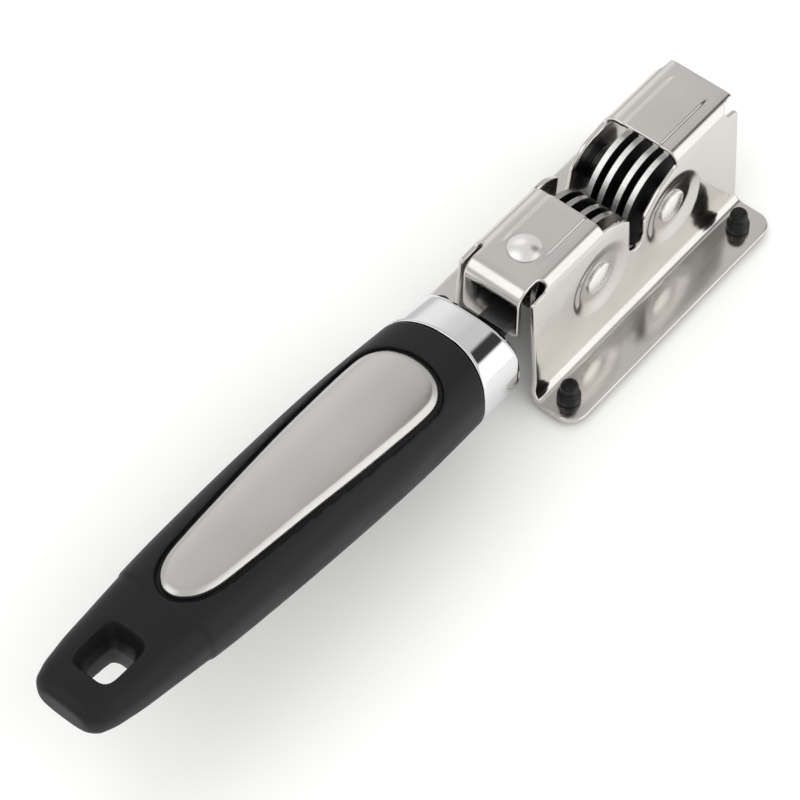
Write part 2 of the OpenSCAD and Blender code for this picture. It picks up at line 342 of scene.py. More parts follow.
def combine(tree, operation, first, second, third=None):
    """One math step; numbers are set on the socket and outputs are linked."""
    node = tree.nodes.new("ShaderNodeMath")
    node.operation = operation
    for socket, value in zip(node.inputs, (first, second, third)):
        if isinstance(value, (int, float)):
            socket.default_value = value
        elif value is not None:
            tree.links.new(value, socket)
    return node.outputs["Value"]


def object_coords(tree, scale):
    """Object coordinates stretched by a scale."""
    coords = tree.nodes.new("ShaderNodeTexCoord")
    mapping = tree.nodes.new("ShaderNodeMapping")
    mapping.inputs["Scale"].default_value = scale
    tree.links.new(coords.outputs["Object"], mapping.inputs["Vector"])
    return mapping.outputs["Vector"]


def noise(tree, scale, size, detail=3.0):
    """Noise over object coordinates; size is the number of features in a metre."""
    texture = tree.nodes.new("ShaderNodeTexNoise")
    texture.inputs["Scale"].default_value = size
    texture.inputs["Detail"].default_value = detail
    tree.links.new(object_coords(tree, scale), texture.inputs["Vector"])
    return texture.outputs["Fac"]


def spread(tree, value, low, high, start=0.3, end=0.7):
    """Maps a 0 to 1 texture value onto a range."""
    node = tree.nodes.new("ShaderNodeMapRange")
    node.inputs["From Min"].default_value = start
    node.inputs["From Max"].default_value = end
    node.inputs["To Min"].default_value = low
    node.inputs["To Max"].default_value = high
    tree.links.new(value, node.inputs["Value"])
    return node.outputs["Result"]


def two_tones(tree, value, dark, light):
    """Colour that goes from dark to light with a texture value."""
    ramp = tree.nodes.new("ShaderNodeValToRGB")
    ramp.color_ramp.elements[0].position = 0.3
    ramp.color_ramp.elements[1].position = 0.7
    ramp.color_ramp.elements[0].color = (*dark, 1)
    ramp.color_ramp.elements[1].color = (*light, 1)
    tree.links.new(value, ramp.inputs["Fac"])
    return ramp.outputs["Color"]


def bump(tree, shader, value, strength, height):
    """A bump of a real height in metres."""
    node = tree.nodes.new("ShaderNodeBump")
    node.inputs["Strength"].default_value = strength
    node.inputs["Distance"].default_value = height
    tree.links.new(value, node.inputs["Height"])
    tree.links.new(node.outputs["Normal"], shader.inputs["Normal"])


def polished_sheet():
    """Polished stainless sheet: soft cloudiness and faint lines along its length."""
    material, tree, shader = base_material("polished_sheet", (0.62, 0.60, 0.575), 1.0, 0.14)
    cloud = noise(tree, (1, 1, 1), 60)
    lines = noise(tree, (6, 260, 260), 12, 2)
    tint = two_tones(tree, cloud, (0.60, 0.585, 0.565), (0.655, 0.635, 0.605))
    tree.links.new(tint, shader.inputs["Base Color"])
    tree.links.new(spread(tree, lines, 0.10, 0.17), shader.inputs["Roughness"])
    bump(tree, shader, lines, 0.12, 0.00002)
    return material


def bright_steel(name, color, roughness, grain=(40, 40, 40)):
    """Bright turned or plated metal with fine polishing marks."""
    material, tree, shader = base_material(name, color, 1.0, roughness)
    marks = noise(tree, grain, 40)
    lighter = tuple(min(1.0, c * 1.025) for c in color)
    tree.links.new(two_tones(tree, marks, color, lighter), shader.inputs["Base Color"])
    tree.links.new(spread(tree, marks, roughness * 0.92, roughness * 1.08), shader.inputs["Roughness"])
    bump(tree, shader, marks, 0.02, 0.00001)
    return material


def disc_with_painted_face_shade(name, rim, face, roughness):
    """Disc with a bright ground rim and side faces painted dark as shade, told apart by which way they
    face.
    """
    material, tree, shader = base_material(name, rim, 1.0, roughness)
    coords = tree.nodes.new("ShaderNodeTexCoord")
    split = tree.nodes.new("ShaderNodeSeparateXYZ")
    tree.links.new(coords.outputs["Normal"], split.inputs["Vector"])
    sideways = combine(tree, "ABSOLUTE", split.outputs["Y"], 0.0)
    grit = noise(tree, (900, 120, 900), 2, 4)
    rim_or_painted_shade = tree.nodes.new("ShaderNodeMix")
    rim_or_painted_shade.data_type = "RGBA"
    # Faces turned along the axle take the dark face colour: painted shade on the disc sides.
    tree.links.new(spread(tree, sideways, 0, 1, 0.6, 0.8), rim_or_painted_shade.inputs["Factor"])
    tree.links.new(two_tones(tree, grit, tuple(c * 0.82 for c in rim), rim), rim_or_painted_shade.inputs["A"])
    tree.links.new(two_tones(tree, grit, tuple(c * 0.7 for c in face), face), rim_or_painted_shade.inputs["B"])
    tree.links.new(rim_or_painted_shade.outputs["Result"], shader.inputs["Base Color"])
    tree.links.new(spread(tree, grit, roughness * 0.8, roughness * 1.25), shader.inputs["Roughness"])
    bump(tree, shader, grit, 0.25, 0.00003)
    return material


def soft_grip():
    """Black soft-touch moulding: fine grain and a faint sheen."""
    material, tree, shader = base_material("soft_grip", (0.006, 0.006, 0.007), 0.0, 0.5)
    shader.inputs["Specular IOR Level"].default_value = 0.25
    grain = noise(tree, (1, 1, 1), 3200, 2)
    patch = noise(tree, (1, 1, 1), 90)
    tint = two_tones(tree, patch, (0.005, 0.005, 0.006), (0.008, 0.008, 0.0095))
    tree.links.new(tint, shader.inputs["Base Color"])
    tree.links.new(spread(tree, patch, 0.44, 0.56), shader.inputs["Roughness"])
    bump(tree, shader, grain, 0.35, 0.00004)
    return material


def foot_rubber():
    """Shiny black rubber with a slight bloom."""
    material, tree, shader = base_material("foot_rubber", (0.003, 0.003, 0.003), 0.0, 0.3)
    shader.inputs["Specular IOR Level"].default_value = 0.3
    bloom = noise(tree, (1, 1, 1), 260)
    tint = two_tones(tree, bloom, (0.002, 0.002, 0.002), (0.005, 0.005, 0.005))
    tree.links.new(tint, shader.inputs["Base Color"])
    tree.links.new(spread(tree, bloom, 0.22, 0.4), shader.inputs["Roughness"])
    bump(tree, shader, bloom, 0.2, 0.00004)
    return material


def satin_plate():
    """Satin inlay with a fine even blast finish."""
    material, tree, shader = base_material("satin_plate", (0.56, 0.55, 0.53), 1.0, 0.34)
    blast = noise(tree, (1, 1, 1), 5200, 2)
    cloud = noise(tree, (1, 1, 1), 40)
    tree.links.new(two_tones(tree, cloud, (0.54, 0.53, 0.51), (0.60, 0.59, 0.57)),
                   shader.inputs["Base Color"])
    tree.links.new(spread(tree, cloud, 0.3, 0.38), shader.inputs["Roughness"])
    bump(tree, shader, blast, 0.3, 0.00003)
    return material


SHEET_STEEL = polished_sheet()
CHROME = bright_steel("collar_chrome", (0.72, 0.72, 0.73), 0.06)
RIVET_STEEL = bright_steel("rivet_steel", (0.86, 0.85, 0.83), 0.28)
# Hub, spacer rings, washers and tang get a very dark steel colour: painted shade that keeps the gaps
# between the discs dark.
SHADE_DARK_STEEL = bright_steel("plain_steel", (0.16, 0.16, 0.165), 0.35)
# The last colour of each disc is its side face, painted dark as shade.
DISC_SMOOTH = disc_with_painted_face_shade("disc_smooth", (0.42, 0.41, 0.40), (0.16, 0.155, 0.155), 0.28)
DISC_KNURLED = disc_with_painted_face_shade("disc_knurled", (0.95, 0.95, 0.93), (0.10, 0.095, 0.10), 0.45)
GRIP_BLACK = soft_grip()
RUBBER = foot_rubber()
SATIN = satin_plate()

# ---- camera, light and floor ----

CAMERA_AZIMUTH = math.radians(-50.53)
CAMERA_ELEVATION = math.radians(53.75)
CAMERA_DISTANCE = 781.0
CAMERA_TARGET = (-45.8, 18.7, -17.2)
CAMERA_LENS = 156.96

# Brightness of the studio surround. A zone is its direction, full and outer angles, and gain.
SKY_BASE = 0.74
SKY_ZONES = [
    ((0.40, -0.78, 0.42), 24, 40, 0.8),
    ((-0.55, 0.38, 0.74), 14, 34, 0.8),
    ((0.50, 0.62, 0.55), 6, 22, 0.35),
]
SKY_GAP = (0.68, -0.145, 0.72)
SKY_GAP_INNER, SKY_GAP_OUTER, SKY_GAP_DEPTH = 8, 14, 0.93
KEY_POWER, FILL_POWER = 8, 6
LAMP_SIZE = (1.6, 1.6)


def build_camera():
    """The reference view: a long lens, high and from the handle's right."""
    back = np.array([
        math.sin(CAMERA_AZIMUTH) * math.cos(CAMERA_ELEVATION),
        -math.cos(CAMERA_AZIMUTH) * math.cos(CAMERA_ELEVATION),
        math.sin(CAMERA_ELEVATION),
    ])
    data = bpy.data.cameras.new("camera")
    data.lens = CAMERA_LENS
    data.sensor_width = 36
    camera = bpy.data.objects.new("camera", data)
    camera.location = place(np.array(CAMERA_TARGET) + CAMERA_DISTANCE * back)[0]
    camera.rotation_euler = Vector(tuple(-back)).to_track_quat("-Z", "Y").to_euler()
    bpy.context.collection.objects.link(camera)
    bpy.context.scene.camera = camera


def area_light(name, at, aim, size, power):
    """A large soft box, placed and aimed in metres, that mirrors don't show."""
    data = bpy.data.lights.new(name, "AREA")
    data.shape = "RECTANGLE"
    data.size, data.size_y = size
    data.energy = power
    light = bpy.data.objects.new(name, data)
    light.location = at
    light.rotation_euler = (Vector(aim) - Vector(at)).to_track_quat("-Z", "Y").to_euler()
    light.visible_glossy = False
    bpy.context.collection.objects.link(light)


def sky_zone(tree, direction, inner, outer):
    """1 within the inner angle of a sky direction, 0 beyond the outer one, in degrees."""
    coords = tree.nodes.new("ShaderNodeTexCoord")
    dot = tree.nodes.new("ShaderNodeVectorMath")
    dot.operation = "DOT_PRODUCT"
    dot.inputs[1].default_value = Vector(direction).normalized()
    tree.links.new(coords.outputs["Generated"], dot.inputs[0])
    edge = tree.nodes.new("ShaderNodeMapRange")
    edge.interpolation_type = "SMOOTHSTEP"
    edge.inputs["From Min"].default_value = math.cos(math.radians(outer))
    edge.inputs["From Max"].default_value = math.cos(math.radians(inner))
    tree.links.new(dot.outputs["Value"], edge.inputs["Value"])
    return edge.outputs["Result"]


def build_world():
    """Pale studio surround with two soft boxes and the dark gap between them."""
    world = bpy.data.worlds.new("studio")
    world.use_nodes = True
    tree = world.node_tree
    strength = SKY_BASE
    for direction, inner, outer, gain in SKY_ZONES:
        strength = combine(tree, "MULTIPLY_ADD", sky_zone(tree, direction, inner, outer), gain, strength)
    dark = sky_zone(tree, SKY_GAP, SKY_GAP_INNER, SKY_GAP_OUTER)
    gap = combine(tree, "MULTIPLY_ADD", dark, -SKY_GAP_DEPTH, 1.0)
    strength = combine(tree, "MULTIPLY", strength, gap)
    background = tree.nodes["Background"]
    background.inputs["Color"].default_value = (1, 0.995, 0.985, 1)
    tree.links.new(strength, background.inputs["Strength"])
    bpy.context.scene.world = world


def build_floor():
    """Plain pale table top."""
    mesh = bpy.data.meshes.new("floor")
    reach = 3.0
    mesh.from_pydata([(-reach, -reach, 0), (reach, -reach, 0), (reach, reach, 0), (-reach, reach, 0)],
                     [], [(0, 1, 2, 3)])
    floor = bpy.data.objects.new("floor", mesh)
    bpy.context.collection.objects.link(floor)
    material, tree, shader = base_material("pale_table", (0.92, 0.92, 0.915), 0.0, 0.6)
    tone = noise(tree, (1, 1, 1), 3)
    tree.links.new(two_tones(tree, tone, (0.91, 0.91, 0.905), (0.93, 0.93, 0.925)),
                   shader.inputs["Base Color"])
    mesh.materials.append(material)


def build_studio():
    build_world()
    build_floor()
    area_light("key", (-0.6, -0.8, 1.3), (0, 0, 0), LAMP_SIZE, KEY_POWER)
    area_light("fill", (0.9, 0.7, 1.2), (0, 0, 0), LAMP_SIZE, FILL_POWER)
    bpy.context.scene.view_settings.view_transform = "Standard"


build_camera()
build_studio()

# ---- head sheet ----

TOP_FLAT = TOP_HALF - TOP_BEND * math.tan((math.pi / 2 - LEAN) / 2)
BEND_ANGLE = math.pi / 2 - LEAN
TOP_ARC_END = TOP_FLAT + TOP_BEND * BEND_ANGLE
WALL_TOP_Z = HEIGHT - TOP_BEND * (1 - math.cos(BEND_ANGLE))
BASE_CORNER = TOP_HALF + math.tan(LEAN) * (HEIGHT - SHEET)
BASE_REACH = BASE_BEND * math.tan(BEND_ANGLE / 2)
WALL_RUN = (HEIGHT - SHEET) / math.cos(LEAN) - (TOP_HALF - TOP_FLAT) - BASE_REACH
WALL_END = TOP_ARC_END + WALL_RUN
BASE_ARC_END = WALL_END + BASE_BEND * BEND_ANGLE
FLAT_EDGE = BASE_ARC_END + FLANGE_EDGE - BASE_CORNER - BASE_REACH
TONGUE_START = TONGUE_FRONT + TONGUE_BEND
TONGUE_RUN = TONGUE_BEND * math.pi / 2 + HEIGHT - TONGUE_BEND - TONGUE_END


def flat_of_height(z):
    """Distance from the middle line, measured on the flat blank, of a height on the wall."""
    if z > WALL_TOP_Z:
        return TOP_FLAT + TOP_BEND * math.acos(1 - (HEIGHT - z) / TOP_BEND)
    return TOP_ARC_END + (WALL_TOP_Z - z) / math.cos(LEAN)


def fold(flat):
    """Folds flat blank points (x, s) into 3-D points and outward normals of the outer face."""
    x, s = flat[:, 0], flat[:, 1]
    side = np.where(s < 0, -1.0, 1.0)
    a = np.abs(s)
    turn = np.clip((a - TOP_FLAT) / TOP_BEND, 0, BEND_ANGLE)
    run = np.clip(a - TOP_ARC_END, 0, WALL_RUN)
    back = np.clip((a - WALL_END) / BASE_BEND, 0, BEND_ANGLE)
    out = np.clip(a - BASE_ARC_END, 0, None)
    y = np.minimum(a, TOP_FLAT) + TOP_BEND * np.sin(turn) + run * math.sin(LEAN) + out
    y += BASE_BEND * (math.sin(BEND_ANGLE) - np.sin(BEND_ANGLE - back))
    z = HEIGHT - TOP_BEND * (1 - np.cos(turn)) - run * math.cos(LEAN)
    z -= BASE_BEND * (np.cos(BEND_ANGLE - back) - math.cos(BEND_ANGLE))
    tilt = turn - back
    normal = np.c_[np.zeros_like(x), side * np.sin(tilt), np.cos(tilt)]
    point = np.c_[x, side * y, z]
    past = TONGUE_START - x
    on = (past > 0) & (a < TONGUE_HALF + 0.9)
    curl = np.clip(past / TONGUE_BEND, 0, math.pi / 2)
    down = np.clip(past - TONGUE_BEND * math.pi / 2, 0, None)
    sag = (HEIGHT - z) * (1 - smoothstep(0, 2.5, past))
    curled = np.c_[
        TONGUE_START - TONGUE_BEND * np.sin(curl),
        s,
        HEIGHT - TONGUE_BEND * (1 - np.cos(curl)) - down - sag,
    ]
    point[on] = curled[on]
    normal[on] = np.c_[-np.sin(curl), 0 * x, np.cos(curl)][on]
    return point, normal


def seat_share(x, z):
    """How far a wall point is drawn in to the flat rivet seat: 0 on the wall, 1 on the seat."""
    share = np.zeros_like(x)
    for axle in (-AXLE_X, AXLE_X):
        away = np.hypot(x - axle, z - AXLE_Z)
        dish = 1 - smoothstep(SEAT_FLAT_R, SEAT_RIM_R, away)
        skirt = 0.16 * (1 - smoothstep(SEAT_RIM_R - 2, SEAT_SKIRT_R, away))
        share = np.maximum(share, np.maximum(dish, skirt + dish * (1 - skirt)))
    return share


def boss_fade(x):
    """The raised bands run out before they reach the ends of the head."""
    return (1 - smoothstep(29, 33, x)) * (1 - smoothstep(24, 29, -x))


def boss_gap(flat):
    """Signed distance to the outline of the raised bands on the top plate."""
    x, a = flat[:, 0], np.abs(flat[:, 1])
    best = np.full(len(x), 99.0)
    corner = 2.2
    for low, high in ((-36, OPEN_FRONT + 6), (OPEN_REAR - 6, 36)):
        dx = np.abs(x - (low + high) / 2) - (high - low) / 2 + corner
        dy = a - BOSS_HALF + corner
        gap = np.hypot(np.maximum(dx, 0), np.maximum(dy, 0)) + np.minimum(np.maximum(dx, dy), 0) - corner
        best = np.minimum(best, gap)
    return best


def lift_sheet(flat, depth):
    """Folded, embossed and pressed sheet surface at a depth below its outer face."""
    point, normal = fold(flat)
    on_wall = (np.abs(flat[:, 1]) > TOP_FLAT) & (np.abs(flat[:, 1]) < BASE_ARC_END)
    share = np.where(on_wall, seat_share(point[:, 0], point[:, 2]), 0)
    share *= smoothstep(TOP_FLAT, TOP_ARC_END, np.abs(flat[:, 1]))
    side = np.sign(flat[:, 1])
    point[:, 1] += share * (side * SEAT_Y - point[:, 1])
    band = (1 - smoothstep(-0.2, 0.2, boss_gap(flat))) * boss_fade(flat[:, 0])
    point[:, 2] += BOSS_RISE * np.where(np.abs(flat[:, 1]) < TOP_FLAT, band, 0)
    return point - normal * depth[:, None]


def blank_outline():
    """Outer outline of the flat blank, counter-clockwise."""
    half = [
        (PLATE_REAR, 8.5, 0.3),
        (33.4, 8.7, 1.4),
        (31.9, 10.4, 1.3),
        (33.0, 12.3, 1.0),
        (WALL_REAR, 12.9, 1.1),
        (WALL_REAR, WALL_END - 1.0, 3),
        (FLANGE_REAR, BASE_ARC_END + 0.5, 3),
        (FLANGE_REAR, FLAT_EDGE, 6),
        (FLANGE_FRONT, FLAT_EDGE, 6),
        (FLANGE_FRONT, BASE_ARC_END, 2.5),
        (WALL_FRONT, WALL_END - 2.5, 3),
        (WALL_FRONT, 11.2, 1.0),
        (-30.9, 10.6, 1.5),
        (-30.9, TONGUE_HALF, 1.5),
        (TONGUE_START - TONGUE_RUN, TONGUE_HALF, 1.5),
    ]
    other = [(x, -s, r) for x, s, r in reversed(half)]
    return tidy_loop(resample(fillet(half + other), 0.5))


def wall_opening(side):
    """Side view of the opening in one wall, as (x, s) points from front to rear."""
    arc_r = 13.9
    first = math.acos((OPEN_FRONT + AXLE_X) / arc_r)
    last = math.acos((-2.9 + AXLE_X) / arc_r)
    heights = []
    for k in range(13):
        t = first + (last - first) * k / 12
        heights.append((-AXLE_X + arc_r * math.cos(t), AXLE_Z + arc_r * math.sin(t), 0))
    heights[-1] = (*heights[-1][:2], 0.8)
    heights += [(-2.9, 16.95, 2.54), (2.2, 16.95, 2.54)]
    if side < 0:
        heights += [(2.2, 23.4, 2.5), (7.6, 27.9, 6), (OPEN_REAR, 30.5, 1.2), (OPEN_REAR, 32.9, 0)]
    else:
        heights += [(2.7, 25.2, 4), (6.2, 29.6, 5), (OPEN_REAR, 31.4, 1.2), (OPEN_REAR, 33.0, 0)]
    path = fillet(heights, closed=False)
    return [(x, side * flat_of_height(z)) for x, z in path]


def opening_outline():
    """The knife opening across the top and both walls, clockwise on the blank."""
    loop = wall_opening(1) + wall_opening(-1)[::-1]
    loop = tidy_loop(resample(np.array(loop), 0.45))
    area = np.sum(loop[:, 0] * np.roll(loop[:, 1], -1) - np.roll(loop[:, 0], -1) * loop[:, 1])
    return loop if area < 0 else loop[::-1]


def blank_grid(outer, hole):
    """Points over the blank: coarse on flats, finer in bends, seats and band edges."""
    kept = []
    for step, level in ((1.1, 0), (0.5, 1), (0.24, 2)):
        xs = np.arange(outer[:, 0].min(), outer[:, 0].max(), step)
        ss = np.arange(-FLAT_EDGE, FLAT_EDGE, step)
        grid = np.stack(np.meshgrid(xs, ss), -1).reshape(-1, 2)
        a = np.abs(grid[:, 1])
        point, _ = fold(grid)
        bend = (np.abs(a - (TOP_FLAT + TOP_ARC_END) / 2) < (TOP_ARC_END - TOP_FLAT) / 2 + 0.6)
        bend |= np.abs(a - (WALL_END + BASE_ARC_END) / 2) < (BASE_ARC_END - WALL_END) / 2 + 0.6
        bend |= (grid[:, 0] < TONGUE_START + 1) & (grid[:, 0] > TONGUE_START - 7.5) & (a < 8)
        away = np.minimum(np.hypot(point[:, 0] - AXLE_X, point[:, 2] - AXLE_Z),
                          np.hypot(point[:, 0] + AXLE_X, point[:, 2] - AXLE_Z))
        bend |= (a > TOP_FLAT) & (a < BASE_ARC_END) & (away < SEAT_RIM_R + 1) & (away > SEAT_FLAT_R - 1)
        fine = (a < 7.2) & (np.abs(boss_gap(grid)) < 0.8)
        wanted = np.where(fine, 2, np.where(bend, 1, 0))
        kept.append(grid[wanted == level])
    grid = np.vstack(kept)
    grid = grid[inside(grid, outer) & ~inside(grid, hole)]
    clear = np.minimum(distance_to(grid, resample(outer, 0.25)), distance_to(grid, resample(hole, 0.25)))
    return grid[clear > 0.75]


def build_head_sheet():
    outer = blank_outline()
    area = np.sum(outer[:, 0] * np.roll(outer[:, 1], -1) - np.roll(outer[:, 0], -1) * outer[:, 1])
    if area < 0:
        outer = outer[::-1]
    hole = opening_outline()
    points, faces = sheet_mesh(outer, [hole], blank_grid(outer, hole), lift_sheet, 0.2, SHEET)
    new_piece("head_sheet", points, faces, "root", ["frame"], "head_steel", SHEET_STEEL, 50)


# ---- rivets, rollers and feet ----

def rivet_head(radius, rim, dome):
    """Profile of a flat-sided head with a domed top and a soft edge."""
    soft = 0.28
    profile = [(0.0, -0.4), (radius - 0.25, -0.4), (radius - 0.1, 0.02), (radius, 0.14)]
    profile += [(radius, rim - soft), (radius - 0.3 * soft, rim - 0.3 * soft), (radius - soft, rim)]
    steps = 8
    for k in range(1, steps + 1):
        r = (radius - soft) * (1 - k / steps)
        profile.append((r, rim + dome * (1 - (r / (radius - soft)) ** 2)))
    return profile


def build_axle(end):
    """Pin and both rivet heads of one axle."""
    name = "front" if end < 0 else "rear"
    parts = [turned([(0, -SEAT_Y), (2.0, -SEAT_Y), (2.0, SEAT_Y), (0, SEAT_Y)],
                    (end * AXLE_X, 0, AXLE_Z), "Y", segments=40)]
    for side in (-1, 1):
        parts.append(turned(rivet_head(3.95, 0.6, 0.45), (end * AXLE_X, side * SEAT_Y, AXLE_Z), "Y", side))
    points, faces = joined(parts)
    new_piece(name + "_axle_pin", points, faces, "root", [name + "_axle"], "rivet_steel", RIVET_STEEL, 40)


def ring_profile(inner, outer, half, soft=0.12):
    """Closed section of a ring with softened edges, from its bore round and back."""
    return [(inner, -half), (outer - soft, -half), (outer, -half + soft),
            (outer, half - soft), (outer - soft, half), (inner, half), (inner, -half)]


def build_disc(end, number):
    """One sharpening disc; the rear ones have a cross-cut rim."""
    stack = "front" if end < 0 else "rear"
    node = f"{stack}_disc_{number}"
    low, high = box_mm(node)
    middle = (low + high) / 2 - ORIGIN
    outer = (high[0] - low[0]) / 2
    half = (high[1] - low[1]) / 2
    if end < 0:
        points, faces = turned(ring_profile(3.5, outer, half), middle, "Y", segments=160)
        material = DISC_SMOOTH
    else:
        teeth, rows, cut = 118, 8, 0.11
        rim = [(outer, -half + 0.03 + (2 * half - 0.06) * k / rows) for k in range(rows + 1)]

        def wave(angle, radius, height):
            if radius < outer - 0.05:
                return 0.0
            slope = math.pi * height / 0.62
            a = math.cos(teeth * angle / 2 + slope)
            b = math.cos(teeth * angle / 2 - slope)
            return -cut * (1 - abs(a * b))

        profile = [(3.5, -half), (outer - 0.3, -half), *rim, (outer - 0.3, half), (3.5, half), (3.5, -half)]
        points, faces = turned(profile, middle, "Y", segments=teeth * 6, wave=wave)
        material = DISC_KNURLED
    slot = "disc_smooth" if end < 0 else "disc_knurled"
    new_piece(node + "_cut", points, faces, stack + "_roller", [node], slot, material, 40)


def build_roller_core(end):
    """Hub tube and the spacer rings, with softened edges."""
    stack = "front" if end < 0 else "rear"
    at = (end * AXLE_X, 0, AXLE_Z)
    low, high = box_mm(stack + "_hub")
    half = (high[1] - low[1]) / 2
    hub = turned(ring_profile(2.05, 3.5, half, 0.2), at, "Y", segments=72)
    new_piece(stack + "_hub_tube", *hub, stack + "_roller", [stack + "_hub"], "plain_steel", SHADE_DARK_STEEL)
    discs = sorted(centre_mm(f"{stack}_disc_{n}")[1] for n in (1, 2, 3, 4))
    thick = (box_mm(stack + "_disc_1")[1][1] - box_mm(stack + "_disc_1")[0][1]) / 2
    ends = [-half] + [y + d for y in discs for d in (-thick, thick)] + [half]
    rings = []
    for a, b in zip(ends[::2], ends[1::2]):
        centre = (at[0], (a + b) / 2, at[2])
        rings.append(turned(ring_profile(3.5, 5.0, (b - a) / 2, 0.15), centre, "Y", segments=72))
    new_piece(stack + "_spacer_rings", *joined(rings), stack + "_roller", [stack + "_spacers"],
              "plain_steel", SHADE_DARK_STEEL)


def build_washers(end):
    stack = "front" if end < 0 else "rear"
    rings = []
    for side in (-1, 1):
        at = (end * AXLE_X, side * (SEAT_Y - SHEET - 0.3), AXLE_Z)
        rings.append(turned(ring_profile(2.02, 4.5, 0.3, 0.1), at, "Y", segments=64))
    new_piece(stack + "_thrust_washers", *joined(rings), "root", [stack + "_washers"],
              "plain_steel", SHADE_DARK_STEEL)


def build_dome_rivet():
    at = (-26.8, 0, HEIGHT + 0.3 * BOSS_RISE)
    head = turned(rivet_head(3.85, 0.35, 0.95), at)
    closed_end = [(2.6, -3.7), (3.0, -4.1), (2.6, -4.4), (0, -4.5)]
    tail = turned([(0, -0.2), (2.0, -0.2), (2.0, -3.6)] + closed_end, at)
    new_piece("dome_rivet_head", *joined([head, tail]), "root", ["dome_rivet"],
              "rivet_steel", RIVET_STEEL, 40)


def build_foot(node):
    """Push-in rubber foot: pad, stem and a stepped plug with soft edges."""
    low, high = box_mm(node)
    x, y = ((low + high) / 2 - ORIGIN)[:2]
    under = low[2] - ORIGIN[2]
    profile = fillet([
        (0.0, under, 0), (3.95, under, 0.5), (3.95, -0.02, 0.4), (1.9, -0.02, 0), (1.9, SHEET + 0.02, 0),
        (2.72, SHEET + 0.02, 0.3), (2.65, SHEET + 2.0, 0.9), (1.85, SHEET + 2.7, 0.5),
        (2.1, SHEET + 3.8, 0.8), (1.9, SHEET + 5.3, 0.9), (0.0, SHEET + 5.35, 0),
    ], closed=False, step=0.15)
    piece = turned([tuple(p) for p in profile], (x, y, 0), segments=48)
    new_piece(node + "_plug", *piece, "root", [node], "foot_rubber", RUBBER, 60)


# ---- handle ----

def smooth_lookup(u, column):
    """Smooth curve through the handle stations (Catmull-Rom)."""
    xs = np.array([s[0] for s in STATIONS], float)
    ys = np.array([s[column] for s in STATIONS], float)
    slopes = np.gradient(ys, xs)
    u = np.clip(u, xs[0], xs[-1])
    i = np.clip(np.searchsorted(xs, u) - 1, 0, len(xs) - 2)
    span = xs[i + 1] - xs[i]
    t = (u - xs[i]) / span
    a = (2 * t ** 3 - 3 * t ** 2 + 1) * ys[i] + (t ** 3 - 2 * t ** 2 + t) * span * slopes[i]
    b = (-2 * t ** 3 + 3 * t ** 2) * ys[i + 1] + (t ** 3 - t ** 2) * span * slopes[i + 1]
    return a + b


def mid_height(u):
    return 19.3 + 0.087 * u - 0.00006 * u * u


def section(u, angle, skin=0.0):
    """A point on the handle's outline: u along the handle, angle round it."""
    a = smooth_lookup(u, 1) - skin
    b = smooth_lookup(u, 2) - skin
    c, s = np.cos(angle), np.sin(angle)
    y = a * np.sign(c) * np.abs(c) ** (2 / SQUARENESS)
    z = b * np.sign(s) * np.abs(s) ** (2 / SQUARENESS)
    return np.stack([COLLAR_FRONT - u + 0 * y, y, mid_height(u) + z], -1)


def crown_height(x, y):
    """Height of the handle's top surface over a plan position."""
    u = COLLAR_FRONT - x
    a, b = smooth_lookup(u, 1), smooth_lookup(u, 2)
    return mid_height(u) + b * (1 - np.clip(np.abs(y) / a, 0, 0.999) ** SQUARENESS) ** (1 / SQUARENESS)


def seam_u(y):
    """Where the collar ends and the grip starts, bowed towards the head."""
    return COLLAR_LEN + SEAM_R - np.sqrt(SEAM_R ** 2 - np.asarray(y) ** 2)


def round_angles(count):
    """Angles spaced so that a squarish outline gets even points."""
    t = np.arange(count) * 2 * math.pi / count
    return t - 0.16 * np.sin(4 * t)


def grid_faces(rows, columns):
    """Quads of a tube of rows, each closed round."""
    return [(r * columns + c, r * columns + (c + 1) % columns,
             (r + 1) * columns + (c + 1) % columns, (r + 1) * columns + c)
            for r in range(rows - 1) for c in range(columns)]


def build_collar():
    """Bright sleeve with a rolled front rim and a bowed rear edge."""
    count = 144
    angles = round_angles(count)
    seam = seam_u(section(np.full(count, 10.0), angles)[:, 1])
    wall, lip, shoulder = 1.0, 4.0, 1.3
    rows = [section(np.full(count, 1.0), angles, lip), section(np.full(count, 0.4), angles, lip),
            section(np.full(count, 0.1), angles, lip - 0.25),
            section(np.full(count, 0.0), angles, lip - 0.8)]
    for k in range(9):
        t = math.pi / 2 * k / 8
        start = shoulder * (1 - math.sin(t))
        rows.append(section(np.full(count, shoulder - start), angles, start))
    for k in range(1, 14):
        rows.append(section(shoulder + (seam - 0.15 - shoulder) * k / 13, angles))
    rows.append(section(seam - 0.02, angles, 0.12))
    rows.append(section(seam - 0.02, angles, wall))
    rows.append(section(np.full(count, 1.05), angles, wall))
    points = np.vstack(rows)
    new_piece("collar_sleeve", points, grid_faces(len(rows), count), "root", ["collar"],
              "collar_chrome", CHROME, 50)


INLAY_HALF = [
    (-63.0, 0.0), (-63.5, 3.6), (-65.2, 7.2), (-68.6, 9.7), (-74.0, 10.25), (-84.0, 9.95), (-95.0, 9.4),
    (-106.0, 8.6), (-117.0, 7.8), (-127.0, 7.0), (-133.5, 6.2), (-137.6, 4.6), (-140.0, 2.2), (-140.6, 0.0),
]


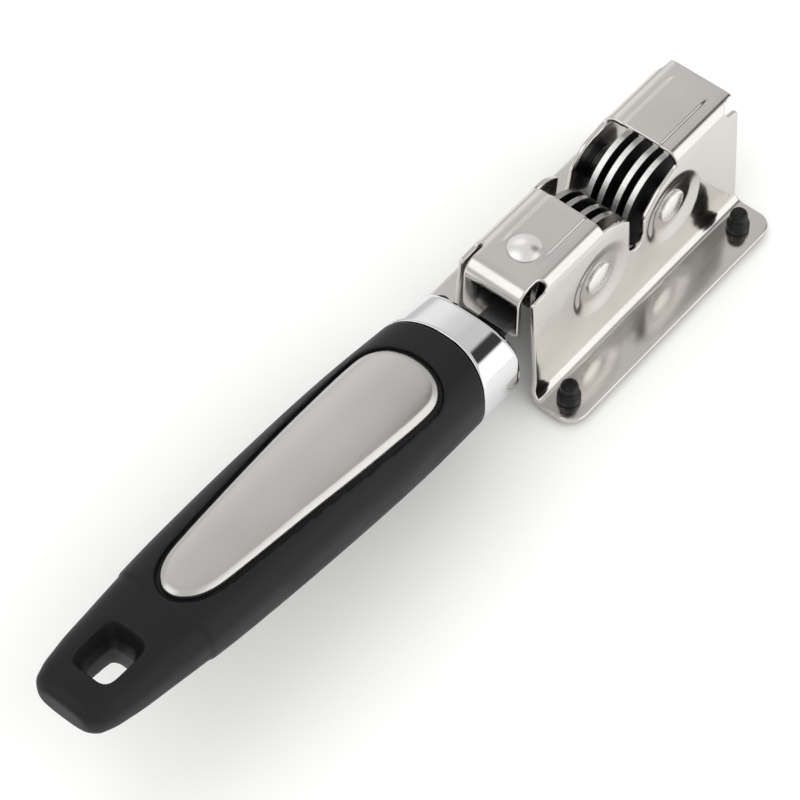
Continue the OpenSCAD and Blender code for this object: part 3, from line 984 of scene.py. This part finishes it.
def inlay_outline(grow=0.0):
    """Smooth drop outline of the inlay plate, counter-clockwise from above."""
    half = INLAY_HALF[:-1]
    whole = np.array(half + [(x, -y) for x, y in reversed(INLAY_HALF[1:])])
    count = len(whole)
    points = []
    for i in range(count):
        p0, p1, p2, p3 = (whole[(i + k) % count] for k in (-1, 0, 1, 2))
        parts = max(2, int(np.linalg.norm(p2 - p1) / 0.6))
        for k in range(parts):
            t = k / parts
            points.append(0.5 * (2 * p1 + (p2 - p0) * t + (2 * p0 - 5 * p1 + 4 * p2 - p3) * t * t
                                 + (3 * p1 - p0 - 3 * p2 + p3) * t ** 3))
    loop = tidy_loop(np.array(points))
    area = np.sum(loop[:, 0] * np.roll(loop[:, 1], -1) - np.roll(loop[:, 0], -1) * loop[:, 1])
    loop = loop if area > 0 else loop[::-1]
    return offset_loop(loop, -grow) if grow else loop


def build_inlay():
    """Satin plate with a bright sloped rim, following the grip's crown."""
    edge = inlay_outline()
    rings = [(0.0, -0.95), (0.0, -0.12), (0.12, 0.02), (1.15, 0.38), (1.35, 0.42)]
    loops = [offset_loop(edge, inset) for inset, _ in rings]
    size = len(edge)
    inner = loops[-1]
    grid = np.stack(np.meshgrid(np.arange(-141, -62, 1.2), np.arange(-10.5, 10.6, 1.2)), -1).reshape(-1, 2)
    grid = grid[inside(grid, inner)]
    grid = grid[distance_to(grid, resample(inner, 0.3)) > 0.6]
    cap = delaunay_2d_cdt([Vector(p) for p in np.vstack([inner, grid])],
                          [(i, (i + 1) % size) for i in range(size)], [], 1, 1e-5)
    cap_points = np.array([tuple(v) for v in cap[0]])
    order = {old: new for new, group in enumerate(cap[3]) for old in group}
    points, faces = [], []
    for loop, (_, rise) in zip(loops[:-1], rings[:-1]):
        points.append(np.c_[loop, crown_height(loop[:, 0], loop[:, 1]) + rise])
    start = (len(rings) - 1) * size
    points.append(np.c_[cap_points, crown_height(cap_points[:, 0], cap_points[:, 1]) + rings[-1][1]])
    for r in range(len(rings) - 1):
        for i in range(size):
            j = (i + 1) % size
            if r < len(rings) - 2:
                upper = ((r + 1) * size + j, (r + 1) * size + i)
            else:
                upper = (start + order[j], start + order[i])
            faces.append((r * size + i, r * size + j, *upper))
    faces += [tuple(start + i for i in f) for f in cap[2]]
    faces.append(tuple(range(size)))
    new_piece("inlay_cover", np.vstack(points), faces, "root", ["inlay_plate"], "inlay_satin", SATIN, 40)


def solid(name, points, faces):
    """A temporary closed mesh for cutting."""
    mesh = bpy.data.meshes.new(name)
    mesh.from_pydata([tuple(p) for p in place(points)], [], [tuple(f) for f in faces])
    work = bmesh.new()
    work.from_mesh(mesh)
    bmesh.ops.recalc_face_normals(work, faces=work.faces)
    work.to_mesh(mesh)
    work.free()
    piece = bpy.data.objects.new(name, mesh)
    bpy.context.collection.objects.link(piece)
    return piece


def recess_cutter():
    """Space above the floor of the inlay's recess, with its dark channel round the plate."""
    edge = inlay_outline(1.25)
    size = len(edge)
    grid = np.stack(np.meshgrid(np.arange(-142, -61, 1.5), np.arange(-11.5, 11.6, 1.5)), -1).reshape(-1, 2)
    grid = grid[inside(grid, edge)]
    grid = grid[distance_to(grid, resample(edge, 0.4)) > 0.8]
    cap = delaunay_2d_cdt([Vector(p) for p in np.vstack([edge, grid])],
                          [(i, (i + 1) % size) for i in range(size)], [], 1, 1e-5)
    flat = np.array([tuple(v) for v in cap[0]])
    order = {old: new for new, group in enumerate(cap[3]) for old in group}
    count = len(flat)
    floor = np.c_[flat, crown_height(flat[:, 0], flat[:, 1]) - 1.5]
    lid = np.c_[flat, np.full(count, 50.0)]
    faces = [tuple(f[::-1]) for f in cap[2]] + [tuple(count + i for i in f) for f in cap[2]]
    for i in range(size):
        a, b = order[i], order[(i + 1) % size]
        faces.append((a, b, count + b, count + a))
    return solid("recess_cutter", np.vstack([floor, lid]), faces)


def hang_hole_cutter():
    """Hang hole: a rounded mouth on top that narrows to a smaller hole through the tail."""
    x = HANG_HOLE_X
    top = float(crown_height(np.array([x]), np.array([0.0]))[0])
    levels = [(top + 4, 8.3, 7.4), (top + 0.6, 7.2, 6.2), (top - 1.2, 6.2, 5.2), (top - 4, 5.0, 4.0),
              (top - 7, 4.4, 3.3), (top - 10.5, 4.3, 3.3), (top - 18, 5.0, 4.2)]
    count = 40
    t = np.arange(count) * 2 * math.pi / count
    points = []
    for z, a, b in levels:
        c, s = np.cos(t), np.sin(t)
        points.append(np.c_[x + a * np.sign(c) * np.abs(c) ** 0.42,
                            b * np.sign(s) * np.abs(s) ** 0.42, np.full(count, z)])
    faces = grid_faces(len(levels), count)
    faces += [tuple(range(count))[::-1], tuple(range((len(levels) - 1) * count, len(levels) * count))]
    return solid("hang_hole_cutter", np.vstack(points), faces)


def build_grip():
    """Black grip: lofted body, inlay recess and hang hole, with all edges melted soft."""
    count = 120
    angles = round_angles(count)
    seam = seam_u(section(np.full(count, 10.0), angles)[:, 1])
    rows = [section(seam + 0.1, angles, 0.45), section(seam + 0.2, angles, 0.12),
            section(seam + 0.5, angles)]
    for u in np.linspace(15.5, HANDLE_LEN - 0.3, 150):
        step = 0.3 * smoothstep(97.6, 98.2, u)
        rows.append(section(np.full(count, u), angles, step))
    rows.append(section(np.full(count, HANDLE_LEN), angles, 0.8))
    points = np.vstack(rows)
    faces = grid_faces(len(rows), count)
    faces += [tuple(range(count))[::-1], tuple(range((len(rows) - 1) * count, len(rows) * count))]
    body = solid("grip_body", points, faces)
    for cutter in (recess_cutter(), hang_hole_cutter()):
        cut = body.modifiers.new("cut", "BOOLEAN")
        cut.operation = "DIFFERENCE"
        cut.object = cutter
        cut.solver = "EXACT"
    melt = body.modifiers.new("melt", "REMESH")
    melt.mode = "VOXEL"
    melt.voxel_size = 0.36 * MM
    soften = body.modifiers.new("soften", "SMOOTH")
    soften.iterations = 5
    soften.factor = 0.5
    bpy.context.view_layer.update()
    result = bpy.data.meshes.new_from_object(body.evaluated_get(bpy.context.evaluated_depsgraph_get()))
    for name in ("grip_body", "recess_cutter", "hang_hole_cutter"):
        bpy.data.objects.remove(bpy.data.objects[name])
    grip = bpy.data.objects.new("grip_cover", result)
    bpy.context.collection.objects.link(grip)
    finish_mesh(grip, GRIP_BLACK, 180)
    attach(grip, "root")
    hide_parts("grip")


build_head_sheet()
for axle_end in (-1, 1):
    build_axle(axle_end)
    build_roller_core(axle_end)
    build_washers(axle_end)
    for disc_number in (1, 2, 3, 4):
        build_disc(axle_end, disc_number)
build_dome_rivet()
for foot_node in ("foot_front_left", "foot_front_right", "foot_rear_left", "foot_rear_right"):
    build_foot(foot_node)
build_collar()
build_inlay()
build_grip()

# The hidden tang and its pin keep their CAD shape.
for hidden in ("tang", "tang_pin"):
    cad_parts[hidden].data.materials.clear()
    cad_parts[hidden].data.materials.append(SHADE_DARK_STEEL)
